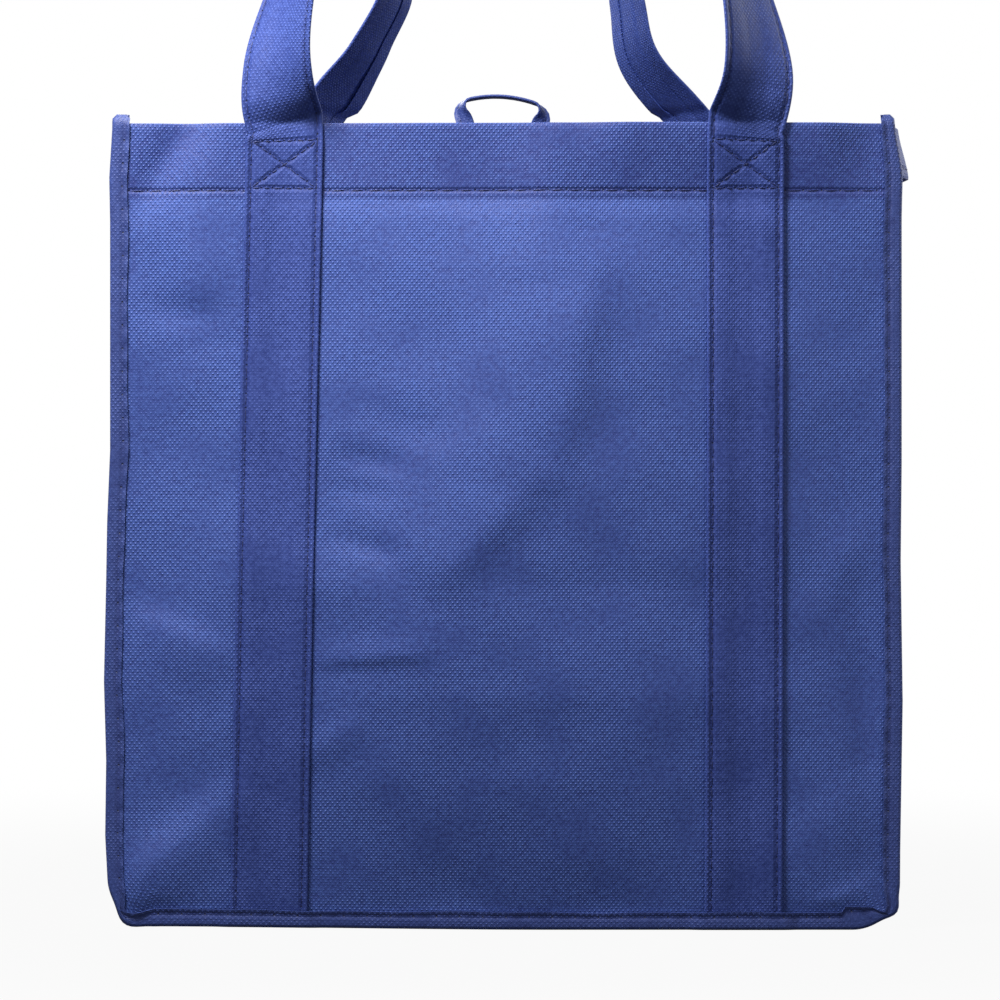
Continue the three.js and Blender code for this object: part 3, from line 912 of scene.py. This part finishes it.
def handle_place(facing, shape, twist, shift):
    """Puts a handle in place, shift mm to the right of the middle at the hem. Also gives the
    strap's length up to the hem and its whole length."""
    y = facing * (panel_y + ply_pitch)
    slant = (strap_spacing_bottom - strap_spacing_top) / 2 / bag_height
    low_spacing = strap_spacing_bottom / 2 - slant * leg_bottom
    leg_place = np.array([(-low_spacing, y, leg_bottom), (-strap_spacing_top / 2, y, bag_height)])
    free_from = np.linalg.norm(leg_place[1] - leg_place[0])
    legs = (leg_place, (leg_place[1] - leg_place[0]) / free_from)
    route = strap_route(legs, strap_spacing_top / 2, handle_length, shape, twist, facing, y)
    whole = route[0][-1]

    def place(u, v):
        points = along_route(route, turned_edges, u, v)
        height = points[:, 2]
        above_hem = height - bag_height
        sewn_off = np.clip(height / bag_height, 0, 1) + 0.25 * smooth(0, 22, above_hem)
        points[:, 0] += shift * sewn_off * smooth(500, 380, height)
        free = smooth(0, 30, v - free_from) * smooth(0, 30, whole - free_from - v)
        points[:, 0] += 0.8 * free * np.sin(v / 37 + facing) * np.sin(v / 23)
        risen = np.minimum(v, whole - v) - free_from
        near_foot = (risen > -5) * (risen < 90)
        if facing < 0:
            puff = 0.7 * mound(8, 5, above_hem) - 0.5 * mound(0.3, 1.4, above_hem)
            points[:, 1] -= puff * near_foot * smooth(16, 11, abs(u))
        else:
            left = points[:, 0] < 0
            kept = 2.3 * smooth(25.6, 28.2, above_hem) * smooth(60, 30, above_hem)
            folded = 1.8 * smooth(28, 25.6, above_hem) * smooth(0, 14, above_hem)
            step = np.where(left, 1.0, -0.6) * (kept - folded) * smooth(3, -14, u) * near_foot
            points[:, 1] += 1.6 * mound(26, 2, above_hem) * near_foot
            points[:, 0] += step - 2.8 * mound(380, 19, height) * near_foot * ~left
            lean = 4.6 * smooth(385, 408, height) * smooth(530, 425, height)
            points[:, 0] += (lean - 2.9 * mound(370, 14, height)) * left
        return settle(points)

    return place, free_from, whole


front_shape = dict(
    bend_radius=70,
    crown_length=0,
    crown_heading=math.pi / 2,
    foot_heading=-0.3,
    foot_settle=50,
    knee=0.1,
    foot_pitch=-0.38,
    back_lean=0.1,
)
back_shape = dict(
    bend_radius=24,
    crown_length=0,
    crown_heading=math.pi / 2,
    foot_heading=0.3,
    foot_settle=80,
    knee=0.4,
    foot_pitch=-0.15,
    back_lean=0.06,
)
half_handle = handle_length / 2
front_twist = dict(foot_turn=0.5, foot_turn_length=70, turn_from=0, turn_over=half_handle)
back_twist = dict(foot_turn=0.6, foot_turn_length=30, turn_from=0, turn_over=half_handle)
front_shift = 3.8
turned_from = flat_half + fold_length
strap_columns = mirrored(
    joined(
        spread(0, flat_half - 4, 2.2),
        spread(flat_half - 4, flat_half, 0.7),
        spread(flat_half, turned_from, 0.25),
        spread(turned_from, turned_from + turn_under - 1, 2),
    )
)
front_place, free_from, whole = handle_place(-1, front_shape, front_twist, front_shift)
back_place = handle_place(1, back_shape, back_twist, 0)[0]
leg_rows = joined(
    spread(0, free_from - 4, 2.6),
    spread(free_from - 4, free_from + 4, 0.8),
    spread(free_from + 4, free_from + 32, 1.4),
    spread(free_from + 32, whole / 2, 2.6),
)
strap_rows = leg_rows + [whole - row for row in leg_rows[-2::-1]]
box_top = free_from - 7.3
box_bottom = free_from - 26.6
strap_seams = [((edge, 1), (edge, whole - 1), strap_pitch) for edge in (-edge_in, edge_in)]
box_pitch = 4.4
cross_pitch = 4.7
for low, high in ((box_bottom, box_top), (whole - box_bottom, whole - box_top)):
    strap_seams += [
        ((-edge_in, high), (edge_in, high), box_pitch),
        ((-edge_in, low), (edge_in, low), box_pitch),
        ((-edge_in, low), (edge_in, high), cross_pitch),
        ((-edge_in, high), (edge_in, low), cross_pitch),
    ]
strap_dark = (0.018, 0.033, 0.170)
strap_light = (0.072, 0.119, 0.415)
strap_cloth = cloth_material(
    "strap_cloth", strap_dark, strap_light, strap_seams, sheen=0.05, shine=0.25, emboss_depth=0.9
)
handles = []
handle_threads = []
for name, place in (("front_handle", front_place), ("back_handle", back_place)):
    handle = cut_cloth(f"{name}_strap", strap_columns, strap_rows, place, strap_cloth)
    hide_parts(name)
    handles.append(handle)
    handle_threads.append(sew(f"{name}_thread", place, strap_seams, ply / 2))

# Hang loop: a narrow tape folded in half along its length, its two legs sewn inside the hem of the
# back panel, so that the bag hangs on the arms of a packing rack.

loop_width = 8
loop_spacing = 27
loop_length = 98
loop_y = panel_y - 2 * ply_pitch
loop_far = loop_width / 2 - ply / 2 - fold_radius
half_fold = math.pi / 2 * fold_radius


def folded_in_half(u):
    """The loop's section: two plies joined along one fold"""
    turn = np.clip(u / fold_radius + math.pi / 2, 0, math.pi)
    past = np.clip(abs(u) - half_fold, 0, None)
    return loop_far + fold_radius * np.sin(turn) - past, fold_radius * (1 - np.cos(turn))


loop_shape = dict(
    bend_radius=5,
    crown_length=15,
    crown_heading=1.3,
    foot_heading=0,
    foot_settle=20,
    knee=0,
    foot_pitch=-0.06,
    back_lean=-0.02,
)
loop_twist = dict(foot_turn=0, foot_turn_length=20, turn_from=21, turn_over=13)
loop_foot = (-loop_spacing / 2, loop_y, bag_height - panel_hem)
loop_legs = (
    np.array([loop_foot, (-loop_spacing / 2, loop_y, bag_height)]),
    np.array([0.0, 0.0, 1.0]),
)
loop_route = strap_route(
    loop_legs, loop_spacing / 2, loop_length, loop_shape, loop_twist, -1, loop_y
)
loop_whole = loop_route[0][-1]


def loop_place(u, v):
    points = along_route(loop_route, folded_in_half, u, v)
    above = smooth(bag_height, bag_height + 14, points[:, 2])
    points[:, 0] += above * (0.015 * points[:, 0] - 1.4)
    points[:, 2] -= above * (1.5 + 0.06 * points[:, 0])
    return settle(points)


loop_half = loop_width / 2 + loop_far + half_fold
loop_columns = joined(
    spread(-loop_half, -half_fold, 1.2),
    spread(-half_fold, half_fold, 0.3),
    spread(half_fold, loop_half, 1.2),
)
loop_rows = spread(0, loop_whole, 1.6)
loop_stitch = loop_half - 2.2
loop_seam = ((loop_stitch, 32), (loop_stitch, loop_whole - 32), 5.5)
loop_dark = (0.024, 0.042, 0.190)
loop_light = (0.060, 0.098, 0.340)
loop_cloth = cloth_material(
    "loop_cloth", loop_dark, loop_light, [loop_seam], sheen=0.05, emboss_depth=0.7
)
hang_loop = cut_cloth("hang_loop_tape", loop_columns, loop_rows, loop_place, loop_cloth)
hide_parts("hang_loop")

# Bottom board: a loose sheet of grey plastic board that keeps the bottom flat. Its face has a fine
# leathery grain and long scuffs.

board_material, wire = start_material("board")
spot = wire.node("ShaderNodeTexCoord", output="Object")
grain = wire.node("ShaderNodeTexNoise", {}, {"Vector": spot, "Scale": 1400.0, "Detail": 3.0})
stretched = wire.node("ShaderNodeMapping", {}, {"Vector": spot, "Scale": (14, 160, 40)})
scuffs = wire.node("ShaderNodeTexNoise", {}, {"Vector": stretched, "Scale": 3.0, "Detail": 5.0})
colour = blend(wire, scuffs, (0.010, 0.012, 0.018, 1), (0.026, 0.030, 0.040, 1))
bump = wire.node("ShaderNodeBump", {}, {"Height": grain, "Strength": 0.4, "Distance": 0.0002})
look = {"Base Color": colour, "Roughness": 0.45 + scuffs * 0.25, "Normal": bump}
show_surface(wire, wire.node("ShaderNodeBsdfPrincipled", {}, look))
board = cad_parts["bottom_board"]
board.data.materials.clear()
board.data.materials.append(board_material)

# The size of each piece of cloth laid flat, in metres, worked out here and not kept

2 * strip_end / 1000
for binding, panel, tape_thread in zip(bindings, (front_panel, back_panel), tape_threads):
    (tape_columns[-1] - tape_columns[0]) / 1000
    2 * tape_end / 1000
for handle, panel, handle_thread in zip(handles, (front_panel, back_panel), handle_threads):
    2 * strap_columns[-1] / 1000
    whole / 1000
loop_whole / 1000
